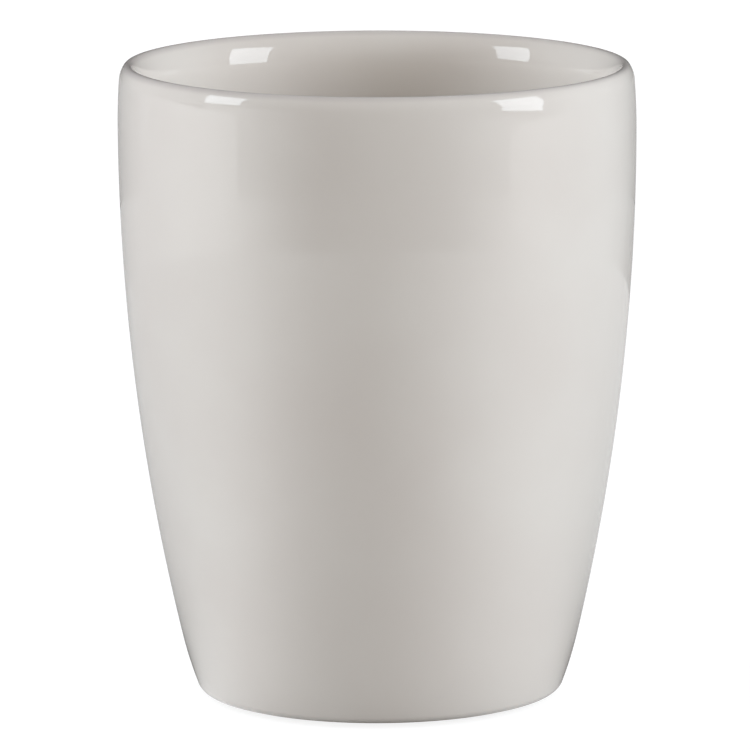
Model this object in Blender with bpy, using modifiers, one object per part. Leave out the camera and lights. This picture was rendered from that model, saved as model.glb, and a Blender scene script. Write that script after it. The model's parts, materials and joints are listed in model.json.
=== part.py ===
"""A slip-cast, glazed ceramic bathroom tumbler that stands on four soft pads under its foot.

Lengths are in metres and +Z is up. The tumbler stands on z = 0 with its axis on Z.
"""

import math

import bpy

# The pot outside, from the foot ring up
BELLY_DIAMETER = 0.0820  # the widest place, a little below the mouth
BODY_HEIGHT = 0.1006  # foot ring to the top of the lip
SHOULDER_HEIGHT = 0.0100  # widest place to the top of the lip
SHOULDER_RADIUS = 0.1020  # curve that draws the mouth in
SIDE_RADIUS = 0.3570  # long curve of the side
TUCK_HEIGHT = 0.0092  # foot ring to the place where the side starts to tuck under
TUCK_RADIUS = 0.0650  # curve of the tuck
HEEL_RADIUS = 0.0020  # round between the tuck and the foot ring

# The lip, thinned from both sides with a wet sponge
LIP_RADIUS = 0.0008  # round on top
LIP_SLOPE = math.radians(36)  # how far both sides lean where the round on top begins
NECK_RADIUS = 0.0041  # curve from the shoulder to the lip

# The pot inside
WALL_AT_BELLY = 0.0040
WALL_AT_TUCK = 0.0046  # the cast is thicker where the slip settles
FLOOR_THICKNESS = 0.0042
FLOOR_FILLET_RADIUS = 0.0075

# The foot, a flat ring ground bare of glaze around a shallow recess
FOOT_RING_WIDTH = 0.0032
RECESS_DEPTH = 0.0016
RECESS_EDGE_RADIUS = 0.0004
RECESS_ROOT_RADIUS = 0.0009

# The soft pads in the recess
PAD_COUNT = 4
PAD_DIAMETER = 0.0080
PAD_STANDOFF = 0.0006  # how far the pads stand below the foot ring
PAD_EDGE_RADIUS = 0.0004
PAD_DRAFT = 0.0003  # how much narrower a pad is at its underside
PAD_EDGE_MARGIN = 0.0020  # recess wall to the nearest pad
SEAT_GAP = 0.0003  # a pad's adhesive film, between the pad and the recess

# Facets
POT_STEPS = 80
PAD_STEPS = 32
MERGE_DISTANCE = 0.00001

POT_COLOUR = (0.705, 0.680, 0.650, 1.0)
PAD_COLOUR = (0.600, 0.610, 0.600, 1.0)

# Places that follow from the sizes
BELLY_RADIUS = BELLY_DIAMETER / 2
PAD_RADIUS = PAD_DIAMETER / 2
FOOT_Z = PAD_STANDOFF
LIP_Z = FOOT_Z + BODY_HEIGHT
BELLY_Z = LIP_Z - SHOULDER_HEIGHT
TUCK_Z = FOOT_Z + TUCK_HEIGHT
RECESS_Z = FOOT_Z + RECESS_DEPTH
FLOOR_Z = RECESS_Z + FLOOR_THICKNESS

UP, OUT, DOWN, IN = math.pi / 2, 0.0, -math.pi / 2, math.pi


def arc(centre, radius, start, end, steps):
    """Points of an arc in the XZ plane, ends included."""
    turns = [start + (end - start) * i / steps for i in range(steps + 1)]
    return [(centre[0] + radius * math.cos(a), centre[1] + radius * math.sin(a)) for a in turns]


def nested_round(big_centre, big_radius, radius, z):
    """Centre, at height z, of a round that touches a bigger arc from inside, and the angle where it does."""
    reach = big_radius - radius
    run = math.sqrt(reach**2 - (z - big_centre[1]) ** 2)
    return (big_centre[0] + run, z), math.atan2(z - big_centre[1], run)


def outside_curve():
    """The outer side as tangent arcs, from the top of the lip down to the foot ring."""
    shoulder = (BELLY_RADIUS - SHOULDER_RADIUS, BELLY_Z)
    side = (BELLY_RADIUS - SIDE_RADIUS, BELLY_Z)
    step_in = NECK_RADIUS - LIP_RADIUS
    neck_z = LIP_Z - LIP_RADIUS - step_in * math.sin(LIP_SLOPE)
    neck, neck_angle = nested_round(shoulder, SHOULDER_RADIUS, NECK_RADIUS, neck_z)
    lip = (neck[0] + step_in * math.cos(LIP_SLOPE), LIP_Z - LIP_RADIUS)
    tuck_angle = -math.asin((BELLY_Z - TUCK_Z) / SIDE_RADIUS)
    inward = SIDE_RADIUS - TUCK_RADIUS
    tuck = (side[0] + inward * math.cos(tuck_angle), side[1] + inward * math.sin(tuck_angle))
    heel, heel_angle = nested_round(tuck, TUCK_RADIUS, HEEL_RADIUS, FOOT_Z + HEEL_RADIUS)
    points = arc(lip, LIP_RADIUS, UP, LIP_SLOPE, 3)
    points += arc(neck, NECK_RADIUS, LIP_SLOPE, neck_angle, 5)[1:]
    points += arc(shoulder, SHOULDER_RADIUS, neck_angle, OUT, 2)[1:]
    points += arc(side, SIDE_RADIUS, OUT, tuck_angle, 9)[1:]
    points += arc(tuck, TUCK_RADIUS, tuck_angle, heel_angle, 3)[1:]
    points += arc(heel, HEEL_RADIUS, heel_angle, DOWN, 4)[1:]
    return points


def inside_curve(lip_x, tuck_x):
    """The hollow, from the middle of its floor out, up and over the flared mouth to the top of the lip.

    lip_x is the radius of the lip's top and tuck_x is the outer radius where the side tucks under.
    """
    wall_x = BELLY_RADIUS - WALL_AT_BELLY
    lip = (lip_x, LIP_Z - LIP_RADIUS)
    flare_radius = (lip_x - wall_x - LIP_RADIUS * math.cos(LIP_SLOPE)) / (1 - math.cos(LIP_SLOPE))
    flare = (wall_x + flare_radius, lip[1] - (flare_radius - LIP_RADIUS) * math.sin(LIP_SLOPE))
    draw_in = wall_x - (tuck_x - WALL_AT_TUCK)
    drop = flare[1] - TUCK_Z
    side_radius = (draw_in**2 + drop**2) / (2 * draw_in)
    side = (wall_x - side_radius, flare[1])
    fillet_z = FLOOR_Z + FLOOR_FILLET_RADIUS
    fillet, fillet_angle = nested_round(side, side_radius, FLOOR_FILLET_RADIUS, fillet_z)
    points = [(0, FLOOR_Z), (fillet[0] / 2, FLOOR_Z)]
    points += arc(fillet, FLOOR_FILLET_RADIUS, DOWN, fillet_angle, 6)
    points += arc(side, side_radius, fillet_angle, OUT, 8)[1:]
    points += arc(flare, flare_radius, IN, IN - LIP_SLOPE, 5)[1:]
    points += arc(lip, LIP_RADIUS, IN - LIP_SLOPE, UP, 3)[1:]
    return points


def foot_curve(ring_x):
    """The underside, from the inner edge of the foot ring at radius ring_x to the middle of the recess."""
    edge = (ring_x + RECESS_EDGE_RADIUS, FOOT_Z + RECESS_EDGE_RADIUS)
    root_radius = min(RECESS_ROOT_RADIUS, RECESS_DEPTH - RECESS_EDGE_RADIUS)
    root = (ring_x - root_radius, RECESS_Z - root_radius)
    points = arc(edge, RECESS_EDGE_RADIUS, DOWN, DOWN - UP, 2)
    points += arc(root, root_radius, OUT, UP, 3)
    return points + [(root[0] / 2, RECESS_Z), (0, RECESS_Z)]


def material(name, colour, roughness):
    made = bpy.data.materials.new(name)
    made.use_nodes = True
    shader = made.node_tree.nodes["Principled BSDF"]
    shader.inputs["Base Color"].default_value = colour
    shader.inputs["Roughness"].default_value = roughness
    shader.inputs["Metallic"].default_value = 0.0
    return made


def turned(name, profile, steps, finish, collection):
    """An object turned from a profile of (radius, height) points that runs down its outer side."""
    mesh = bpy.data.meshes.new(name)
    edges = [(i, i + 1) for i in range(len(profile) - 1)]
    mesh.from_pydata([(x, 0, z) for x, z in profile], edges, [])
    mesh.materials.append(finish)
    made = bpy.data.objects.new(name, mesh)
    collection.objects.link(made)
    screw = made.modifiers.new("Turn", "SCREW")
    screw.axis = "Z"
    screw.angle = 2 * math.pi
    screw.steps = steps
    screw.render_steps = steps
    screw.use_merge_vertices = True
    screw.merge_threshold = MERGE_DISTANCE
    screw.use_smooth_shade = True
    return made


def pot(collection):
    """The one-piece ceramic body, and the radius of the recess under it."""
    outside = outside_curve()
    tuck_x = BELLY_RADIUS - SIDE_RADIUS + math.sqrt(SIDE_RADIUS**2 - (BELLY_Z - TUCK_Z) ** 2)
    ring_x = outside[-1][0] - FOOT_RING_WIDTH
    profile = inside_curve(outside[0][0], tuck_x) + outside[1:] + foot_curve(ring_x)
    glaze = material("glazed_ceramic", POT_COLOUR, 0.12)
    return turned("tumbler_body", profile, POT_STEPS, glaze, collection), ring_x


def pads(recess_radius, collection):
    """The soft pads, evenly spaced in the recess."""
    top = RECESS_Z - SEAT_GAP
    foot_radius = PAD_RADIUS - PAD_DRAFT
    edge = (foot_radius - PAD_EDGE_RADIUS, PAD_EDGE_RADIUS)
    profile = [(0, top), (PAD_RADIUS, top)] + arc(edge, PAD_EDGE_RADIUS, OUT, DOWN, 3) + [(0, 0)]
    rubber = material("soft_silicone", PAD_COLOUR, 0.45)
    circle = recess_radius - PAD_EDGE_MARGIN - PAD_RADIUS
    made = []
    for i in range(PAD_COUNT):
        pad = turned(f"foot_pad_{i + 1}", profile, PAD_STEPS, rubber, collection)
        turn = 2 * math.pi * (i + 0.5) / PAD_COUNT
        pad.location = (circle * math.cos(turn), circle * math.sin(turn), 0)
        made.append(pad)
    return made


def main():
    for old in list(bpy.data.objects):
        bpy.data.objects.remove(old, do_unlink=True)
    collection = bpy.data.collections.new("tumbler")
    bpy.context.scene.collection.children.link(collection)
    stand = bpy.data.objects.new("stand", None)
    collection.objects.link(stand)
    body, recess_radius = pot(collection)
    for piece in [body] + pads(recess_radius, collection):
        piece.parent = stand


main()
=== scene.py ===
# %% [markdown]
# # A glazed ceramic bathroom tumbler
#
# The object is a handleless cup of slip-cast stoneware. Liquid clay was poured into a plaster mould, the
# skin of clay that set against the plaster became the wall, and a glaze was fired over it until it melted to
# glass. Nothing else is visible from above, so the likeness rests on two things: the outline that is turned
# round the axis, and the way a glassy coat over a pale body mirrors the studio.
#
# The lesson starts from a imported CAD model, which fixes the real size and place of every piece. The script
# dresses that frame and never moves it.

# %% Load the frame
import json
import math

import bmesh
import bpy
from mathutils import Matrix, Vector

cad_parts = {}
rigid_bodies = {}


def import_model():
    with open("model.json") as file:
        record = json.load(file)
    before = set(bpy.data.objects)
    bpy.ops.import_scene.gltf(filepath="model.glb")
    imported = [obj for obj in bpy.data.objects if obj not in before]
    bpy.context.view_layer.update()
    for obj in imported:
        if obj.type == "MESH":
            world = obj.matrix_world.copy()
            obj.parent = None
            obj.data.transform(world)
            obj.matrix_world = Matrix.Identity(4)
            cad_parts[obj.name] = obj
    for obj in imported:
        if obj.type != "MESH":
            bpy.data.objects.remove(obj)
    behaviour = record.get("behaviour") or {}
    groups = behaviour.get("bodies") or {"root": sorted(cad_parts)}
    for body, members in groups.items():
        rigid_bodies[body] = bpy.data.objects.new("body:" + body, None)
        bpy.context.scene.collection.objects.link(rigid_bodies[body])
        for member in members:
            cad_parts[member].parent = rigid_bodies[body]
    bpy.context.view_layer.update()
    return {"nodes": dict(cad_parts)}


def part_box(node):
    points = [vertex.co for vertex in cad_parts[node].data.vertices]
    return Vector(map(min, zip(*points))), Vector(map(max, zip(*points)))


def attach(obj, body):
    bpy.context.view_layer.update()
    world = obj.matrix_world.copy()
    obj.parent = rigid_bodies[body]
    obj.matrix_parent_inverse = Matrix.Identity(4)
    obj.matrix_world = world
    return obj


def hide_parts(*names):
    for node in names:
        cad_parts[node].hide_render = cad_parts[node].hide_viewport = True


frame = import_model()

print("CAD pieces:", ", ".join(sorted(frame["nodes"])))

# %% [markdown]
# ## Sizes
#
# Heights and the widest radius are read from the frame, so the fine mesh can't drift away from the solid it
# stands for. The radii of the curves are the potter's own dimensions, in millimetres, and one small function
# turns them to metres.

# %% Read the main sizes
body_low, body_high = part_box("tumbler_body")
pad_low, pad_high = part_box("foot_pad_1")
PAD_NODES = sorted(name for name in frame["nodes"] if name.startswith("foot_pad_"))
FOOT_Z = body_low.z
LIP_Z = body_high.z
BELLY_RADIUS = body_high.x
print(f"tumbler {2000 * BELLY_RADIUS:.1f} mm across and {1000 * LIP_Z:.1f} mm high on its pads")

# %% Name the curves of the side and the lip
def mm(size):
    """Millimetres to Blender's metres."""
    return size / 1000


SHOULDER_HEIGHT = mm(10.0)  # from the widest place up to the lip
SHOULDER_RADIUS = mm(102.0)
SIDE_RADIUS = mm(357.0)
TUCK_HEIGHT = mm(9.2)  # from the foot ring up to where the side tucks under
TUCK_RADIUS = mm(65.0)
HEEL_RADIUS = mm(2.0)
NECK_RADIUS = mm(4.1)
LIP_RADIUS = mm(0.8)
LIP_SLOPE = math.radians(36)  # the way out of the clay where the neck curve ends and the lip begins
FLARE_SLOPE = math.radians(38.5)  # the same inside, where the sponge leaned a little further over
BELLY_Z = LIP_Z - SHOULDER_HEIGHT
TUCK_Z = FOOT_Z + TUCK_HEIGHT
print(f"widest at height {1000 * BELLY_Z:.1f} mm, tucked in from {1000 * TUCK_Z:.1f} mm down")

# %% Name the wall, the floor and the foot
WALL_AT_BELLY = mm(4.0)
WALL_AT_TUCK = mm(4.6)
FLOOR_THICKNESS = mm(4.2)
FLOOR_FILLET_RADIUS = mm(7.5)
FOOT_RING_WIDTH = mm(3.2)
RECESS_DEPTH = mm(1.6)
RECESS_EDGE_RADIUS = mm(0.4)
RECESS_ROOT_RADIUS = mm(0.9)
RECESS_Z = FOOT_Z + RECESS_DEPTH
FLOOR_Z = RECESS_Z + FLOOR_THICKNESS
print(f"the hollow's floor lies at height {1000 * FLOOR_Z:.1f} mm")

# %% [markdown]
# ## An outline drawn by spinning a point
#
# A thrown or cast pot is a chain of arcs that flow into each other. A curve object could be drawn by hand,
# but its joins would only look smooth. `bmesh.ops.spin` is usually given an edge or a face, but it also takes
# a single vertex, and then it draws a true arc. So the outline is walked: a tip is carried round one centre
# after another, and because each centre lies on the line square to the outline at the tip, every arc leaves
# the last one without a corner. The way out of the clay is given as an angle, 90 degrees being straight up.

# %% Draw arcs and straight runs
UP, OUT, DOWN, IN = math.pi / 2, 0.0, -math.pi / 2, math.pi


def new_vertex(parts):
    """The vertex among the parts that an operator made."""
    return next(part for part in parts if isinstance(part, bmesh.types.BMVert))


def arc_on(outline, tip, radius, start, end, steps):
    """Carries the outline on from its tip while the way out of the clay turns from start to end."""
    bulge = 1 if end < start else -1
    reach = bulge * radius
    centre = tip.co - Vector((reach * math.cos(start), 0, reach * math.sin(start)))
    grown = bmesh.ops.spin(
        outline, geom=[tip], cent=centre, axis=(0, 1, 0), angle=start - end, steps=steps, use_merge=False
    )
    return new_vertex(grown["geom_last"])


def line_on(outline, tip, x, z, steps=1):
    """Carries the outline straight on to a point."""
    stride = (Vector((x, 0, z)) - tip.co) / steps
    for _ in range(steps):
        tip = new_vertex(bmesh.ops.extrude_vert_indiv(outline, verts=[tip])["verts"])
        tip.co += stride
    return tip


# %% [markdown]
# ## The outline of the pot
#
# Outside, the widest place sits 10 mm below the lip. Above it a slow shoulder draws the mouth in, and a quick
# neck curve leads to the lip. Below it one long arc falls to the foot, tucks under and ends in a small heel.
# Inside, the wall is a cast skin 4 mm thick that was thinned towards the lip with a wet sponge, so the mouth
# flares out. That flare is only 1.6 mm wide, but it decides where the lamps show inside the cup.
#
# The radii are given, so what has to be worked out is where each arc hands over to the next. A small round
# that touches a big arc from inside has its centre on the line from the big centre to the place of touch.

# %% Find where the outer arcs meet
def touch(big_x, big_z, big_radius, radius, z):
    """A small round, centred at height z, touches a big arc from inside: its centre's x and the angle."""
    reach = big_radius - radius
    run = math.sqrt(reach**2 - (z - big_z) ** 2)
    return big_x + run, math.atan2(z - big_z, run)


step_in = NECK_RADIUS - LIP_RADIUS
neck_z = LIP_Z - LIP_RADIUS - step_in * math.sin(LIP_SLOPE)
neck_x, neck_angle = touch(BELLY_RADIUS - SHOULDER_RADIUS, BELLY_Z, SHOULDER_RADIUS, NECK_RADIUS, neck_z)
lip_x = neck_x + step_in * math.cos(LIP_SLOPE)

side_x = BELLY_RADIUS - SIDE_RADIUS
tuck_angle = -math.asin((BELLY_Z - TUCK_Z) / SIDE_RADIUS)
tuck_x = side_x + (SIDE_RADIUS - TUCK_RADIUS) * math.cos(tuck_angle)
tuck_z = BELLY_Z + (SIDE_RADIUS - TUCK_RADIUS) * math.sin(tuck_angle)
heel_x, heel_angle = touch(tuck_x, tuck_z, TUCK_RADIUS, HEEL_RADIUS, FOOT_Z + HEEL_RADIUS)
ring_x = heel_x - FOOT_RING_WIDTH
print(f"foot ring from radius {1000 * ring_x:.2f} to {1000 * heel_x:.2f} mm")

# %% Find where the inner arcs meet
wall_x = BELLY_RADIUS - WALL_AT_BELLY
flare_radius = (lip_x - wall_x - LIP_RADIUS * math.cos(FLARE_SLOPE)) / (1 - math.cos(FLARE_SLOPE))
flare_z = LIP_Z - LIP_RADIUS - (flare_radius - LIP_RADIUS) * math.sin(FLARE_SLOPE)
tuck_wall_x = side_x + SIDE_RADIUS * math.cos(tuck_angle) - WALL_AT_TUCK
draw_in = wall_x - tuck_wall_x
drop = flare_z - TUCK_Z
hollow_radius = (draw_in**2 + drop**2) / (2 * draw_in)
fillet_x, fillet_angle = touch(
    wall_x - hollow_radius, flare_z, hollow_radius, FLOOR_FILLET_RADIUS, FLOOR_Z + FLOOR_FILLET_RADIUS
)
print(f"lip top at radius {1000 * lip_x:.2f} mm, flare radius {1000 * flare_radius:.2f} mm")

# %% Walk the outline from the hollow's floor, over the lip, to the end of the glaze
WIPED = math.radians(-56)  # how far round the heel the glaze reaches
GLAZE_EDGE = mm(0.12)  # the rounded end of the glaze, where it was wiped off the foot
ARC_STEP_MM = 1.4  # the longest facet along the outline
FEWEST_STEPS = 6  # the smallest arcs still look round with so many facets
FLOOR_STEPS = 14


def steps_for(radius, start, end):
    """Enough steps that a facet is under ARC_STEP_MM long."""
    return max(FEWEST_STEPS, math.ceil(1000 * radius * abs(end - start) / ARC_STEP_MM))


def walk(outline, tip, stretches):
    """Carries the outline on over arcs, each given as (radius, start, end)."""
    for radius, start, end in stretches:
        tip = arc_on(outline, tip, radius, start, end, steps_for(radius, start, end))
    return tip


pot_outline = bmesh.new()
tip = pot_outline.verts.new((0, 0, FLOOR_Z))
tip = line_on(pot_outline, tip, fillet_x, FLOOR_Z, FLOOR_STEPS)
tip = walk(
    pot_outline,
    tip,
    [
        (FLOOR_FILLET_RADIUS, UP, IN + fillet_angle),
        (hollow_radius, IN + fillet_angle, IN),
        (flare_radius, IN, IN - FLARE_SLOPE),
        (LIP_RADIUS, IN - FLARE_SLOPE, LIP_SLOPE),
        (NECK_RADIUS, LIP_SLOPE, neck_angle),
        (SHOULDER_RADIUS, neck_angle, OUT),
        (SIDE_RADIUS, OUT, tuck_angle),
        (TUCK_RADIUS, tuck_angle, heel_angle),
        (HEEL_RADIUS, heel_angle, WIPED),
        (GLAZE_EDGE, WIPED, WIPED - UP),
    ],
)
print(f"glaze ends {1000 * (tip.co.z - FOOT_Z):.2f} mm above the ground ring")

# %% Walk on over the ground foot ring and across the recess
BARE_HEEL_STEPS = 3
RING_STEPS = 6
RECESS_STEPS = 12
tip = line_on(pot_outline, tip, heel_x, FOOT_Z, BARE_HEEL_STEPS)
tip = line_on(pot_outline, tip, ring_x + RECESS_EDGE_RADIUS, FOOT_Z, RING_STEPS)
tip = walk(pot_outline, tip, [(RECESS_EDGE_RADIUS, DOWN, DOWN - UP)])
tip = line_on(pot_outline, tip, ring_x, RECESS_Z - RECESS_ROOT_RADIUS)
tip = walk(pot_outline, tip, [(RECESS_ROOT_RADIUS, DOWN - UP, DOWN)])
tip = line_on(pot_outline, tip, 0, RECESS_Z, RECESS_STEPS)
print(f"outline of {len(pot_outline.verts)} points, ending at height {1000 * tip.co.z:.2f} mm")

# %% [markdown]
# ## Turning the pot
#
# The same operator turns the whole outline round Z. A Screw modifier would draw the same skin, but a finished
# mesh is wanted here, because its faces get two finishes. A full turn is given `use_merge`, which welds the
# last copy to the first, and the points on the axis are merged afterwards, because all their copies lie in
# one place.
#
# No fired pot is quite true. The left side of this mouth stands 0.17 mm higher than its middle, and the right
# side as much lower. So the turned points are tilted, by a share that fades out halfway down the side.

# %% Turn the body and tilt its mouth
TURN_STEPS = 320
WELD = mm(0.001)
LIP_TILT = 0.0044  # rise over run
LEVEL_BELOW = mm(50)


def finished(name, built, smooth=True):
    """Writes a bmesh to a new object that stands at the origin."""
    bmesh.ops.remove_doubles(built, verts=built.verts, dist=WELD)
    bmesh.ops.recalc_face_normals(built, faces=built.faces)
    for face in built.faces:
        face.smooth = smooth
    mesh = bpy.data.meshes.new(name)
    built.to_mesh(mesh)
    built.free()
    made = bpy.data.objects.new(name, mesh)
    bpy.context.scene.collection.objects.link(made)
    return made


bmesh.ops.spin(
    pot_outline,
    geom=pot_outline.verts[:] + pot_outline.edges[:],
    cent=(0, 0, 0),
    axis=(0, 0, 1),
    angle=2 * math.pi,
    steps=TURN_STEPS,
    use_merge=True,
)
for corner in pot_outline.verts:
    share = min(1.0, max(0.0, (corner.co.z - LEVEL_BELOW) / (LIP_Z - LEVEL_BELOW)))
    corner.co.z -= LIP_TILT * corner.co.x * share**2
glazed_body = finished("glazed_body", pot_outline)
print(f"glazed body: {len(glazed_body.data.polygons)} faces")

# %% [markdown]
# ## Pads under the foot
#
# Four small discs of cloudy silicone keep the fired foot off the washstand. Each is a short cylinder with a
# slight draft from its mould and a softened lower edge, on a thin film of adhesive. They could be turned from
# an outline as the pot is, but a cone starts with the draft already in it, and one bevel softens the edge.

# %% Make a disc and soften its edge
PAD_SEGMENTS = 64
CREASE = math.radians(50)  # a sharper corner than this keeps its edge


def disc(low_radius, high_radius, low_z, high_z):
    """A closed disc standing between two heights."""
    made = bmesh.new()
    bmesh.ops.create_cone(
        made,
        cap_ends=True,
        segments=PAD_SEGMENTS,
        radius1=low_radius,
        radius2=high_radius,
        depth=high_z - low_z,
    )
    bmesh.ops.translate(made, verts=made.verts, vec=(0, 0, (low_z + high_z) / 2))
    return made


def soften_rim(built, z, width, steps):
    """Rounds the edges that lie at that height."""
    rim = [edge for edge in built.edges if all(abs(end.co.z - z) < WELD for end in edge.verts)]
    bmesh.ops.bevel(
        built, geom=rim, offset=width, segments=steps, profile=0.5, affect="EDGES", material=-1
    )


def set_down(name, built, centre):
    """Moves a disc from the axis to its place and writes it to an object with a crisp upper edge."""
    bmesh.ops.translate(built, verts=built.verts, vec=(centre.x, centre.y, 0))
    made = finished(name, built)
    made.data.set_sharp_from_angle(angle=CREASE)
    return made


# %% Model the pads and their films
PAD_DRAFT = mm(0.3)
PAD_EDGE = mm(0.4)
PAD_EDGE_STEPS = 5
FILM_MARGIN = mm(0.25)  # the film ends that far inside the pad's edge
FILM_CLEARANCE = mm(0.02)
FILM_EDGE_STEPS = 2


def soft_pad(number, node):
    """A pad in the place of its CAD node."""
    low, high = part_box(node)
    radius = (high.x - low.x) / 2
    built = disc(radius - PAD_DRAFT, radius, low.z, high.z)
    soften_rim(built, low.z, PAD_EDGE, PAD_EDGE_STEPS)
    return set_down(f"soft_pad_{number}", built, (low + high) / 2)


def adhesive_film(number, node):
    """The film between a pad and the recess above it."""
    low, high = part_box(node)
    radius = (high.x - low.x) / 2 - FILM_MARGIN
    film_low = high.z + FILM_CLEARANCE
    built = disc(radius, radius, film_low, RECESS_Z - FILM_CLEARANCE)
    soften_rim(built, film_low, FILM_CLEARANCE, FILM_EDGE_STEPS)
    return set_down(f"adhesive_film_{number}", built, (low + high) / 2)


soft_pads = [soft_pad(i + 1, node) for i, node in enumerate(PAD_NODES)]
adhesive_films = [adhesive_film(i + 1, node) for i, node in enumerate(PAD_NODES)]
print(f"{len(soft_pads)} pads, {1000 * (pad_high.x - pad_low.x):.1f} mm across, and as many films")

# %% [markdown]
# ## Colours and nodes
#
# Colours are written as sRGB hex, the way they are read off a screen, and Blender's sockets want linear
# light. One function turns one to the other. A second one adds a node with its settings and its inputs,
# whether these are values or the outputs of other nodes.

# %% Turn hex colours to linear light
def linear(code):
    """An sRGB hex colour as linear RGBA."""
    parts = [int(code[i : i + 2], 16) / 255 for i in (1, 3, 5)]
    return tuple(c / 12.92 if c <= 0.04045 else ((c + 0.055) / 1.055) ** 2.4 for c in parts) + (1.0,)


# %% Add nodes
MIX_FACTOR, MIX_FIRST, MIX_SECOND, MIX_COLOUR = 0, 6, 7, 2  # a Mix node has such sockets for each data type


def add_node(tree, kind, inputs=None, **settings):
    """Adds a node, applies its settings, and fills its inputs with values or other nodes' outputs."""
    made = tree.nodes.new(kind)
    for name, value in settings.items():
        setattr(made, name, value)
    for name, value in (inputs or {}).items():
        if isinstance(value, bpy.types.NodeSocket):
            tree.links.new(value, made.inputs[name])
        else:
            made.inputs[name].default_value = value
    return made


def blank_material(name):
    """A new material and its empty node tree."""
    made = bpy.data.materials.new(name)
    made.use_nodes = True
    made.node_tree.nodes.clear()
    return made, made.node_tree


# %% [markdown]
# ## The glaze
#
# A clear gloss glaze over a pale warm grey body. To the eye it gives a soft, milky colour with a hard, clean
# mirror on top: about a twenty-fifth of the light is mirrored face on, and nearly all of it along the edges.
# A plain colour with a low roughness would give that too, but it would look like plastic. Three small things
# prevent it. The melted surface is not quite flat, so the edges of a mirrored lamp waver. The top of the lip
# is painted a darker grey, a painted shade for the dark line along the rim. And the glaze's tone drifts by a
# percent or two, as the thickness of the coat does.

# %% Tint the glaze
GLAZE_TONE = "#CAC4BC"
GLAZE_TONE_THICK = "#C7C0B8"
# Painted shade: a darker grey on top of the lip, for the dark line along the rim.
LIP_SHADE_TONE = "#ACA4A0"
DRIFT_MM = 26.0  # patches of slightly thicker glaze
DRIFT_FROM, DRIFT_TO = 0.35, 0.65  # the part of the noise over which the coat thickens
LIP_SHADE_BAND = mm(0.9)  # the height of the band of painted shade on top of the lip
LIP_SHADE_SHARE = 0.55  # how far the top of the lip is turned to the painted shade


def glaze_colour(tree, place):
    """Two close tones in wide patches, and painted shade on top of the lip."""
    drift = add_node(
        tree, "ShaderNodeTexNoise", {"Vector": place, "Scale": 1000 / DRIFT_MM, "Detail": 2.0}
    ).outputs["Fac"]
    patch = add_node(
        tree, "ShaderNodeMapRange", {"Value": drift, "From Min": DRIFT_FROM, "From Max": DRIFT_TO}
    ).outputs["Result"]
    tone = add_node(
        tree,
        "ShaderNodeMix",
        {MIX_FACTOR: patch, MIX_FIRST: linear(GLAZE_TONE), MIX_SECOND: linear(GLAZE_TONE_THICK)},
        data_type="RGBA",
    ).outputs[MIX_COLOUR]
    height = add_node(tree, "ShaderNodeSeparateXYZ", {0: place}).outputs["Z"]
    # Painted shade: towards the top of the lip the colour turns darker.
    lip_shade = add_node(
        tree,
        "ShaderNodeMapRange",
        {"Value": height, "From Min": LIP_Z - LIP_SHADE_BAND, "From Max": LIP_Z, "To Max": LIP_SHADE_SHARE},
        interpolation_type="SMOOTHSTEP",
    ).outputs["Result"]
    return add_node(
        tree,
        "ShaderNodeMix",
        {MIX_FACTOR: lip_shade, MIX_FIRST: tone, MIX_SECOND: linear(LIP_SHADE_TONE)},
        data_type="RGBA",
    ).outputs[MIX_COLOUR]


# %% Melt its surface
WAVER_MM = 9.0  # the slow swell of a melted surface
WAVER_HEIGHT = mm(0.012)
PEEL_MM = 1.1  # the fine orange peel on top of it, really about 0.5 mm, drawn coarser so that it shows
PEEL_HEIGHT = mm(0.0006)


def melted_surface(tree, place):
    """A slow swell with a fine orange peel on it."""
    waves = add_node(
        tree, "ShaderNodeTexNoise", {"Vector": place, "Scale": 1000 / WAVER_MM, "Detail": 2.0}
    ).outputs["Fac"]
    swell = add_node(
        tree, "ShaderNodeBump", {"Height": waves, "Strength": 1.0, "Distance": WAVER_HEIGHT}
    ).outputs["Normal"]
    dimples = add_node(
        tree, "ShaderNodeTexNoise", {"Vector": place, "Scale": 1000 / PEEL_MM, "Detail": 2.0}
    ).outputs["Fac"]
    return add_node(
        tree, "ShaderNodeBump", {"Height": dimples, "Distance": PEEL_HEIGHT, "Normal": swell}
    ).outputs["Normal"]


def gloss_glaze():
    """Clear gloss glaze: milky colour under a hard, clean mirror."""
    glaze, tree = blank_material("clear_gloss_glaze_on_stoneware")
    place = add_node(tree, "ShaderNodeTexCoord").outputs["Object"]
    colour = glaze_colour(tree, place)
    surface = melted_surface(tree, place)
    shader = add_node(
        tree,
        "ShaderNodeBsdfPrincipled",
        {"Base Color": colour, "Roughness": 0.03, "IOR": 1.5, "Normal": surface},
    )
    add_node(tree, "ShaderNodeOutputMaterial", {"Surface": shader.outputs[0]})
    return glaze


# %% [markdown]
# ## Biscuit, silicone and adhesive
#
# The foot ring was ground and left without glaze, so it is matt, sandy and a little darker. The pads are
# silicone rubber, cloudy rather than clear, with the satin skin of their mould. The film is acrylic adhesive,
# faintly yellow. Each could be one flat colour, since they are small and lie underneath, but seen from below
# it is the sand, the cloud and the smear that tell clay, rubber and glue apart.

# %% Make the unglazed clay
GROUND_CLAY, GROUND_SAND = "#CFC4B4", "#B3A797"
SAND_MM = 0.45  # grains of sand in the ground clay
SAND_HEIGHT = mm(0.04)


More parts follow.
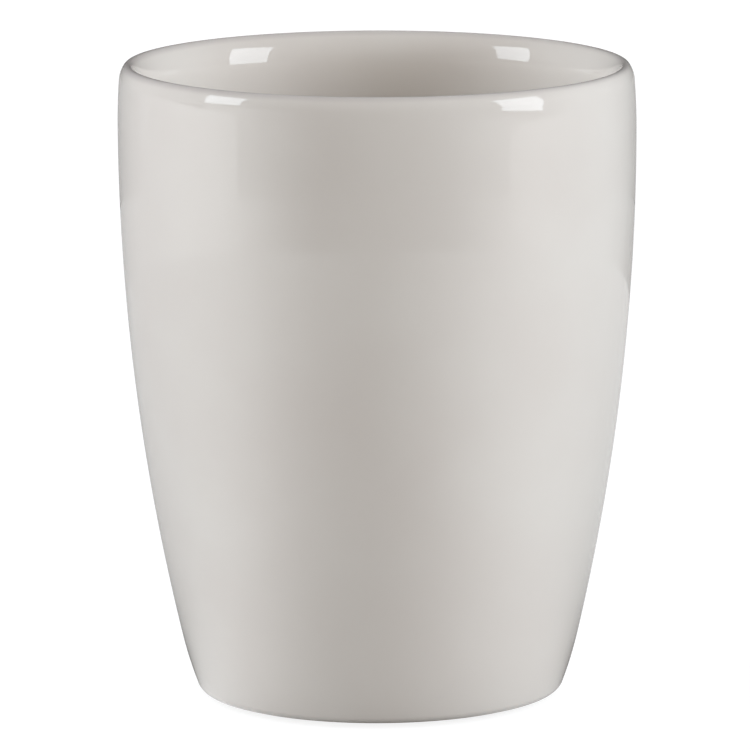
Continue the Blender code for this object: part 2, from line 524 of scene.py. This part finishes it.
def ground_biscuit():
    """Ground, unglazed stoneware: matt and sandy."""
    biscuit, tree = blank_material("ground_unglazed_stoneware")
    place = add_node(tree, "ShaderNodeTexCoord").outputs["Object"]
    sand = add_node(
        tree, "ShaderNodeTexNoise", {"Vector": place, "Scale": 1000 / SAND_MM, "Detail": 4.0}
    ).outputs["Fac"]
    colour = add_node(
        tree,
        "ShaderNodeMix",
        {MIX_FACTOR: sand, MIX_FIRST: linear(GROUND_CLAY), MIX_SECOND: linear(GROUND_SAND)},
        data_type="RGBA",
    ).outputs[MIX_COLOUR]
    relief = add_node(
        tree, "ShaderNodeBump", {"Height": sand, "Strength": 0.8, "Distance": SAND_HEIGHT}
    ).outputs["Normal"]
    shader = add_node(
        tree, "ShaderNodeBsdfPrincipled", {"Base Color": colour, "Roughness": 0.88, "Normal": relief}
    )
    add_node(tree, "ShaderNodeOutputMaterial", {"Surface": shader.outputs[0]})
    return biscuit


# %% Make the silicone
RUBBER, RUBBER_CLOUD = "#CBCECA", "#DADCD8"
CLOUD_MM = 2.5  # milky patches inside the rubber
PITS_MM = 0.3  # pits left by the mould
PITS_DEPTH = mm(0.01)
GLOW_THROUGH = (mm(1.2), mm(1.2), mm(1.1))  # how far red, green and blue light wander inside the rubber


def cloudy_silicone():
    """Moulded silicone rubber: cloudy, with a satin skin."""
    silicone, tree = blank_material("cloudy_moulded_silicone")
    place = add_node(tree, "ShaderNodeTexCoord").outputs["Object"]
    cloud = add_node(
        tree, "ShaderNodeTexNoise", {"Vector": place, "Scale": 1000 / CLOUD_MM, "Detail": 2.0}
    ).outputs["Fac"]
    colour = add_node(
        tree,
        "ShaderNodeMix",
        {MIX_FACTOR: cloud, MIX_FIRST: linear(RUBBER), MIX_SECOND: linear(RUBBER_CLOUD)},
        data_type="RGBA",
    ).outputs[MIX_COLOUR]
    pits = add_node(
        tree, "ShaderNodeTexNoise", {"Vector": place, "Scale": 1000 / PITS_MM, "Detail": 2.0}
    ).outputs["Fac"]
    skin = add_node(
        tree, "ShaderNodeBump", {"Height": pits, "Strength": 0.5, "Distance": PITS_DEPTH}
    ).outputs["Normal"]
    shader = add_node(
        tree,
        "ShaderNodeBsdfPrincipled",
        {
            "Base Color": colour,
            "Roughness": 0.42,
            "IOR": 1.41,
            "Subsurface Weight": 0.35,
            "Subsurface Radius": GLOW_THROUGH,
            "Subsurface Scale": 1.0,
            "Normal": skin,
        },
    )
    add_node(tree, "ShaderNodeOutputMaterial", {"Surface": shader.outputs[0]})
    return silicone


# %% Make the adhesive
GLUE, GLUE_SMEAR = "#DCD8C8", "#C9C3AE"
SMEAR_MM = 1.6  # uneven adhesive


def clear_adhesive():
    """Acrylic adhesive: faintly yellow and unevenly spread."""
    adhesive, tree = blank_material("acrylic_adhesive_film")
    place = add_node(tree, "ShaderNodeTexCoord").outputs["Object"]
    smear = add_node(
        tree, "ShaderNodeTexNoise", {"Vector": place, "Scale": 1000 / SMEAR_MM, "Detail": 3.0}
    ).outputs["Fac"]
    colour = add_node(
        tree,
        "ShaderNodeMix",
        {MIX_FACTOR: smear, MIX_FIRST: linear(GLUE), MIX_SECOND: linear(GLUE_SMEAR)},
        data_type="RGBA",
    ).outputs[MIX_COLOUR]
    shader = add_node(
        tree, "ShaderNodeBsdfPrincipled", {"Base Color": colour, "Roughness": 0.3, "IOR": 1.47}
    )
    add_node(tree, "ShaderNodeOutputMaterial", {"Surface": shader.outputs[0]})
    return adhesive


# %% [markdown]
# ## Dressing the pieces
#
# The body wears two finishes: glaze everywhere, and bare clay on the faces between the end of the glaze and
# the inner edge of the foot ring. The faces could be listed, but they are found by where they are, so that a
# change of the foot's size needs no new list.

# %% Put the finishes on
GLAZED, BARE = 0, 1


def dress_body():
    """Glazes the body and bares the faces of its foot ring."""
    mesh = glazed_body.data
    mesh.materials.append(gloss_glaze())
    mesh.materials.append(ground_biscuit())
    bare_top = FOOT_Z + HEEL_RADIUS * (1 + math.sin(WIPED)) + WELD
    bare_out = heel_x + HEEL_RADIUS * math.cos(WIPED) - GLAZE_EDGE
    bare_in = ring_x + WELD
    for face in mesh.polygons:
        radius = math.hypot(face.center.x, face.center.y)
        is_bare = face.center.z < bare_top and bare_in < radius < bare_out
        face.material_index = BARE if is_bare else GLAZED
    return sum(face.material_index == BARE for face in mesh.polygons)


bare_faces = dress_body()
print(f"{bare_faces} faces of bare clay")
silicone = cloudy_silicone()
adhesive = clear_adhesive()
for pad in soft_pads:
    pad.data.materials.append(silicone)
for film in adhesive_films:
    film.data.materials.append(adhesive)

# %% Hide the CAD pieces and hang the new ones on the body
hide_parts("tumbler_body")
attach(glazed_body, "root")
for pad, film, node in zip(soft_pads, adhesive_films, PAD_NODES):
    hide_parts(node)
    for piece in (pad, film):
        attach(piece, "root")
print("replaced:", ", ".join(["tumbler_body", *PAD_NODES]))

# %% [markdown]
# ## The camera
#
# The photograph was taken with a long lens from 10 degrees above, which shows in how little the far side of
# the mouth shrinks. Angle, distance and lens could be guessed by eye, but they were found by matching the
# turned outline to the photograph's, because half a degree already changes how open the mouth looks. The cup
# leans a third of a degree in the picture, so the camera is rolled by as much.

# %% Place the camera
CAMERA_HEIGHT_ANGLE = math.radians(10.05)
CAMERA_DISTANCE = 1.201
CAMERA_AIM_Z = FOOT_Z + mm(50.54)
CAMERA_AIM_X = mm(-0.57)
CAMERA_ROLL = math.radians(0.3526)
SENSOR_WIDTH_MM = 36.0
LENS_MM = 362.55

camera_data = bpy.data.cameras.new("camera")
camera_data.sensor_fit = "HORIZONTAL"
camera_data.sensor_width = SENSOR_WIDTH_MM
camera_data.lens = LENS_MM
camera = bpy.data.objects.new("camera", camera_data)
bpy.context.scene.collection.objects.link(camera)

towards_camera = Vector((0, -math.cos(CAMERA_HEIGHT_ANGLE), math.sin(CAMERA_HEIGHT_ANGLE)))
turned = towards_camera.to_track_quat("Z", "Y").to_matrix() @ Matrix.Rotation(-CAMERA_ROLL, 3, "Z")
stand = Vector((CAMERA_AIM_X, 0, CAMERA_AIM_Z)) + CAMERA_DISTANCE * towards_camera
camera.matrix_world = Matrix.Translation(stand) @ turned.to_4x4()
bpy.context.scene.camera = camera
print(f"camera {CAMERA_DISTANCE:.2f} m away with a {LENS_MM:.0f} mm lens")

# %% [markdown]
# ## Floor and background
#
# The photograph has a white ground. More light on a grey floor would give that, but it would wash out the cup
# too. So the floor is white to the camera and in reflections, and to the light that it would bounce onto the
# cup it is a plain mid grey. Its glow stops short of white, and the lamps add the rest, so where the cup
# keeps them off the floor a soft shadow stays.

# %% Make the floor's finish
WHITE = (1, 1, 1, 1)
FLOOR_GLOW = 0.86
FLOOR_SHEEN_OF_LAMPS = 0.2
FLOOR_BOUNCE = 0.5


def sees_background(tree):
    """1 for camera rays and for rays that a gloss or a glass sends on, 0 for the rest."""
    path = add_node(tree, "ShaderNodeLightPath").outputs
    mirrored = add_node(
        tree,
        "ShaderNodeMath",
        {0: path["Is Glossy Ray"], 1: path["Is Transmission Ray"]},
        operation="MAXIMUM",
    )
    seen = add_node(
        tree, "ShaderNodeMath", {0: path["Is Camera Ray"], 1: mirrored.outputs[0]}, operation="MAXIMUM"
    )
    return seen.outputs[0]


def pale_floor():
    """White where it is looked at, mid grey where it bounces light."""
    floor, tree = blank_material("white_studio_floor")
    glow = add_node(tree, "ShaderNodeEmission", {"Color": WHITE, "Strength": FLOOR_GLOW})
    lit = add_node(tree, "ShaderNodeBsdfDiffuse", {"Color": (FLOOR_SHEEN_OF_LAMPS,) * 3 + (1,)})
    shown = add_node(tree, "ShaderNodeAddShader", {0: glow.outputs[0], 1: lit.outputs[0]})
    bounce = add_node(tree, "ShaderNodeBsdfDiffuse", {"Color": (FLOOR_BOUNCE,) * 3 + (1,)})
    either = add_node(
        tree,
        "ShaderNodeMixShader",
        {0: sees_background(tree), 1: bounce.outputs[0], 2: shown.outputs[0]},
    )
    add_node(tree, "ShaderNodeOutputMaterial", {"Surface": either.outputs[0]})
    return floor


# %% Lay the floor and set the background
FLOOR_RADIUS = 4.0
ROUND_STEPS = 96  # enough for the edge of a wide circle
ROOM_LIGHT = 0.025
ROOM_WARMTH = "#FFF4EA"


def lay_floor():
    """A wide disc that only the stage needs."""
    built = bmesh.new()
    bmesh.ops.create_circle(built, cap_ends=True, segments=ROUND_STEPS, radius=FLOOR_RADIUS)
    floor = finished("studio_floor", built, smooth=False)
    floor.data.materials.append(pale_floor())


def open_white_room():
    """A world that looks white and gives a little warm light."""
    world = bpy.data.worlds.new("white_room")
    world.use_nodes = True
    tree = world.node_tree
    tree.nodes.clear()
    shown = add_node(tree, "ShaderNodeBackground", {"Color": WHITE, "Strength": 1.0})
    light = add_node(tree, "ShaderNodeBackground", {"Color": linear(ROOM_WARMTH), "Strength": ROOM_LIGHT})
    either = add_node(
        tree, "ShaderNodeMixShader", {0: sees_background(tree), 1: light.outputs[0], 2: shown.outputs[0]}
    )
    add_node(tree, "ShaderNodeOutputWorld", {"Surface": either.outputs[0]})
    bpy.context.scene.world = world


lay_floor()
open_white_room()
print(f"floor {2 * FLOOR_RADIUS:.0f} m across under a white room")

# %% [markdown]
# ## Lamps
#
# Gloss shows its surroundings, so the studio is laid out by what the glaze mirrors in the photograph. Two
# softboxes stand left and right, their tops leaning a little away from the camera. They show as crisp
# bright patches, outside below the lip and again inside the mouth. The other lamps stand beside, behind and
# in front of the cup. They light it, but the gloss doesn't mirror them, so each can be as wide as its soft
# light needs. A world with bright patches painted on it could light the cup too, but area lamps can be
# moved, sized and hidden from the gloss one by one.
#
# Each lamp is placed by where the cup sees it: an angle from the camera, positive to the right, and a height
# angle.

# %% Aim a lamp at the cup
STUDIO_CENTRE = Vector((0, 0, mm(95)))


def seen_at(azimuth, elevation, distance):
    """The point that the cup sees in that direction, in degrees, at that distance."""
    a, e = math.radians(azimuth), math.radians(elevation)
    away = Vector((math.sin(a) * math.cos(e), -math.cos(a) * math.cos(e), math.sin(e)))
    return STUDIO_CENTRE + distance * away


def soft_lamp(name, azimuths, elevations, distance, radiance, colour, lean=None):
    """A flat lamp that covers those angles as the cup sees them, with the glow that its face shows.

    A lamp that is given a lean, in degrees, is mirrored by the gloss too.
    """
    azimuth, elevation = sum(azimuths) / 2, sum(elevations) / 2
    spread = math.radians(azimuths[1] - azimuths[0])
    rise = math.radians(elevations[1] - elevations[0])
    data = bpy.data.lights.new(name, "AREA")
    data.shape = "RECTANGLE"
    width = 2 * distance * math.tan(spread / 2) * math.cos(math.radians(elevation))
    height = 2 * distance * math.tan(rise / 2)
    data.size = width
    data.size_y = height
    data.energy = radiance * math.pi * width * height
    data.color = linear(colour)[:3]
    lamp = bpy.data.objects.new(name, data)
    bpy.context.scene.collection.objects.link(lamp)
    place = seen_at(azimuth, elevation, distance)
    facing = (place - STUDIO_CENTRE).to_track_quat("Z", "Y").to_matrix().to_4x4()
    leaning = Matrix.Rotation(math.radians(lean or 0), 4, "Z")
    lamp.matrix_world = Matrix.Translation(place) @ facing @ leaning
    lamp.visible_camera = False
    lamp.visible_glossy = lean is not None
    return lamp


# %% Hang the lamps
SOFTBOX_GLOW = 5.6
FAR, NEAR = 2.5, 1.4  # metres from the cup to the softboxes and to the other lamps
SOFTBOX_COLOUR = "#F0F8FF"
DAYLIGHT = "#EEF5FF"
FILL_COLOUR = "#FFF8F3"
WARM_BOUNCE = "#FFECD0"

# Each lamp: its angles round the cup, its height angles, distance, glow, colour and lean.
lamps = [
    soft_lamp("softbox_left", (-85.5, -65), (10, 36.5), FAR, SOFTBOX_GLOW, SOFTBOX_COLOUR, 12),
    soft_lamp("softbox_right", (57.2, 80.4), (-0.3, 35), FAR, SOFTBOX_GLOW, SOFTBOX_COLOUR, -6),
    soft_lamp("side_light_left", (-89, -63), (-3.5, 38), NEAR, 2.3, DAYLIGHT),
    soft_lamp("side_light_right", (63, 89), (5, 40), NEAR, 7.1, DAYLIGHT),
    soft_lamp("rim_light_left", (-117, -91), (-3.5, 45), NEAR, 7.8, DAYLIGHT),
    soft_lamp("rim_light_right", (91, 117), (6, 45), NEAR, 4.0, DAYLIGHT),
    soft_lamp("back_light_left", (-178, -145), (0, 20), NEAR, 2.0, WARM_BOUNCE),
    soft_lamp("back_light_right", (145, 178), (0, 24), NEAR, 2.4, WARM_BOUNCE),
    soft_lamp("front_light", (-64, 55), (4, 36), NEAR, 1.21, FILL_COLOUR),
]
print("lamps:", ", ".join(lamp.name for lamp in lamps))

# %% [markdown]
# ## Things that only the gloss sees
#
# What the sides mirror is mostly table. The lamps brighten it in two wide pools, which show as broad pale
# bands left and right, and the cup shades it near the foot. Two low panels and two low walls give the bands
# their top edges. Behind the cup the table goes on, which keeps the outline of the cup from going too dark,
# and all else is a dark room, which gives a white cup its edge against a white ground.
#
# Real panels could be lit by the lamps, but then each change of a lamp would change the bands too. So these
# things glow by themselves, and only reflections see them. Their glow fades with the angle round the cup,
# which the Arctangent node gives from the two floor coordinates.

# %% Make a glow that fades round the cup
SHADE_FROM, SHADE_TO = mm(20), mm(110)  # the cup's shade fades out between these distances from its axis
FOOT_SHADE = 0.65  # what is left of the glow under the cup


def pool_of_light(tree, angle, middle, reach, radiance):
    """A glow that is strongest at one angle and fades to nothing at its reach, in degrees."""
    off = add_node(tree, "ShaderNodeMath", {0: angle, 1: math.radians(middle)}, operation="SUBTRACT")
    away = add_node(tree, "ShaderNodeMath", {0: off.outputs[0]}, operation="ABSOLUTE").outputs[0]
    return add_node(
        tree,
        "ShaderNodeMapRange",
        {"Value": away, "From Max": math.radians(reach), "To Min": radiance, "To Max": 0.0},
        interpolation_type="SMOOTHSTEP",
    ).outputs["Result"]


def shaded_at_the_foot(tree, place, glow):
    """The glow that is left where the cup keeps the light off the table."""
    out = add_node(tree, "ShaderNodeVectorMath", {0: place}, operation="LENGTH").outputs["Value"]
    share = add_node(
        tree,
        "ShaderNodeMapRange",
        {"Value": out, "From Min": SHADE_FROM, "From Max": SHADE_TO, "To Min": FOOT_SHADE},
        interpolation_type="SMOOTHSTEP",
    ).outputs["Result"]
    return add_node(tree, "ShaderNodeMath", {0: glow, 1: share}, operation="MULTIPLY").outputs[0]


def glow_round_the_cup(name, least, pools=(), shaded=False):
    """A glow with pools of light in it, each given as (angle, reach, glow)."""
    finish, tree = blank_material(name)
    place = add_node(tree, "ShaderNodeTexCoord").outputs["Object"]
    across = add_node(tree, "ShaderNodeSeparateXYZ", {0: place}).outputs
    forward = add_node(tree, "ShaderNodeMath", {0: across["Y"], 1: -1.0}, operation="MULTIPLY").outputs[0]
    angle = add_node(tree, "ShaderNodeMath", {0: across["X"], 1: forward}, operation="ARCTAN2").outputs[0]
    glow = least
    for middle, reach, radiance in pools:
        pool = pool_of_light(tree, angle, middle, reach, radiance)
        glow = add_node(tree, "ShaderNodeMath", {0: pool, 1: glow}, operation="ADD").outputs[0]
    if shaded:
        glow = shaded_at_the_foot(tree, place, glow)
    shine = add_node(tree, "ShaderNodeEmission", {"Color": WHITE, "Strength": glow})
    add_node(tree, "ShaderNodeOutputMaterial", {"Surface": shine.outputs[0]})
    return finish


# %% Mix the glows
DARK = 0.02  # what an unlit surface still gives
near_table_glow = glow_round_the_cup(
    "lamplight_on_the_table",
    0.12,
    [(-53, 60, 1.65), (50, 58, 1.0), (-162, 48, 0.3), (160, 50, 0.45)],
    shaded=True,
)
left_cloth = glow_round_the_cup("white_cloth_left", 0.22, [(-66, 50, 1.75), (-180, 40, 0.35)])
right_cloth = glow_round_the_cup("white_cloth_right", 0.1, [(60, 34, 1.05), (180, 40, 0.42)])
right_panel_cloth = glow_round_the_cup("white_panel_right", 0.1, [(60, 40, 1.3)])
left_wall = glow_round_the_cup("pale_wall_left", DARK, [(-62, 48, 1.05)])
right_wall = glow_round_the_cup("pale_wall_right", DARK, [(56, 36, 0.6)])
behind = glow_round_the_cup("table_behind_the_cup", DARK, [(-180, 40, 0.42), (180, 40, 0.42)])
dark_walls = glow_round_the_cup("dark_room_walls", DARK)
print("a glow each for the near table, two cloths, a panel, two walls, the table behind and the dark room")

# %% Spin outlines round the cup and stand panels beside it
LIFT = mm(0.5)  # keeps these things clear of the floor
CORNER_WIDENING = 2.7  # a panel's round corner is that much wider than high
CORNER_STEPS = 12


def only_mirrored(thing, glow):
    """Gives a thing its glow and hides it from everything but reflections."""
    thing.data.materials.append(glow)
    thing.visible_camera = False
    thing.visible_diffuse = False
    thing.visible_shadow = False
    thing.visible_transmission = False
    return thing


def seen_by_gloss(name, azimuths, outline, glow):
    """An outline of (distance, height) points, spun round the cup between two angles."""
    built = bmesh.new()
    turn = math.radians(azimuths[0])
    corners = [built.verts.new((r * math.sin(turn), -r * math.cos(turn), z)) for r, z in outline]
    edges = [built.edges.new(pair) for pair in zip(corners[:-1], corners[1:])]
    bmesh.ops.spin(
        built,
        geom=corners + edges,
        cent=(0, 0, 0),
        axis=(0, 0, 1),
        angle=math.radians(azimuths[1] - azimuths[0]),
        steps=ROUND_STEPS,
    )
    return only_mirrored(finished(name, built, smooth=False), glow)


def low_panel(name, azimuth, distance, width, height, corner, inner_side, glow):
    """A flat panel that stands on the table and faces the cup, with its upper inner corner rounded."""
    built = bmesh.new()
    bmesh.ops.create_grid(built, x_segments=1, y_segments=1, size=0.5)
    bmesh.ops.scale(built, verts=built.verts, vec=(width, height * CORNER_WIDENING, 1))
    inner_top = max(built.verts, key=lambda v: inner_side * v.co.x + v.co.y)
    bmesh.ops.bevel(
        built,
        geom=[inner_top],
        offset=corner,
        segments=CORNER_STEPS,
        profile=0.5,
        affect="VERTICES",
        material=-1,
    )
    bmesh.ops.scale(built, verts=built.verts, vec=(1, 1 / CORNER_WIDENING, 1))
    stood_up = Matrix.Rotation(math.pi / 2, 3, "X")
    bmesh.ops.rotate(built, verts=built.verts, cent=(0, 0, 0), matrix=stood_up)
    bmesh.ops.translate(built, verts=built.verts, vec=(0, -distance, height / 2 + LIFT))
    turned_round = Matrix.Rotation(math.radians(azimuth), 3, "Z")
    bmesh.ops.rotate(built, verts=built.verts, cent=(0, 0, 0), matrix=turned_round)
    return only_mirrored(finished(name, built, smooth=False), glow)


# %% Lay out the table
FULL_TURN = (-180, 180)
LEFT_HALF, RIGHT_HALF = (-180, 0), (0, 180)
PIN_HOLE = mm(1)  # left open on the axis, where a spun outline would close on itself
BRIGHT_RADIUS = mm(360)
TABLE_EDGE = 0.5
FAR_TABLE = [(BRIGHT_RADIUS, LIFT), (TABLE_EDGE, LIFT)]
table = [
    seen_by_gloss("near_table", FULL_TURN, [(PIN_HOLE, LIFT), (BRIGHT_RADIUS, LIFT)], near_table_glow),
    seen_by_gloss("far_table_left", LEFT_HALF, FAR_TABLE, left_cloth),
    seen_by_gloss("far_table_right", RIGHT_HALF, FAR_TABLE, right_cloth),
]
print("mirrored only:", ", ".join(thing.name for thing in table))

# %% Stand up the panels
PANEL_DISTANCE = 0.36
panels = [
    low_panel(
        "panel_left",
        azimuth=-93.2,
        distance=PANEL_DISTANCE,
        width=0.448,
        height=mm(90),
        corner=mm(34),
        inner_side=1,
        glow=left_cloth,
    ),
    low_panel(
        "panel_right",
        azimuth=87.5,
        distance=PANEL_DISTANCE,
        width=0.416,
        height=mm(77),
        corner=mm(72),
        inner_side=-1,
        glow=right_panel_cloth,
    ),
]
print("mirrored only:", ", ".join(thing.name for thing in panels))

# %% Close the room
WALL_LEFT_HEIGHT, WALL_RIGHT_HEIGHT = mm(145), mm(86)
BEHIND_RADIUS = 1.3
OVER_THE_ROOM = 2 * LIFT  # the table behind lies on top of the dark room's own floor
ROOM_RADIUS = 3.2
CEILING_HEIGHT = 2.6
CEILING_HOLE = mm(10)
DARK_ROOM = [
    (TABLE_EDGE, LIFT),
    (ROOM_RADIUS, LIFT),
    (ROOM_RADIUS, CEILING_HEIGHT),
    (CEILING_HOLE, CEILING_HEIGHT),
]
BEHIND = [(TABLE_EDGE, OVER_THE_ROOM), (BEHIND_RADIUS, OVER_THE_ROOM)]
walls = [
    seen_by_gloss("wall_left", (-80, -16), [(TABLE_EDGE, LIFT), (TABLE_EDGE, WALL_LEFT_HEIGHT)], left_wall),
    seen_by_gloss("wall_right", (20, 68), [(TABLE_EDGE, LIFT), (TABLE_EDGE, WALL_RIGHT_HEIGHT)], right_wall),
    seen_by_gloss("table_behind", (130, 230), BEHIND, behind),
    seen_by_gloss("dark_room", FULL_TURN, DARK_ROOM, dark_walls),
]
print("mirrored only:", ", ".join(thing.name for thing in walls))

# %% [markdown]
# ## Finish
#
# The colours are to come out as they are written, so the view transform is Standard.

# %% Set the view transform
bpy.context.scene.view_settings.view_transform = "Standard"
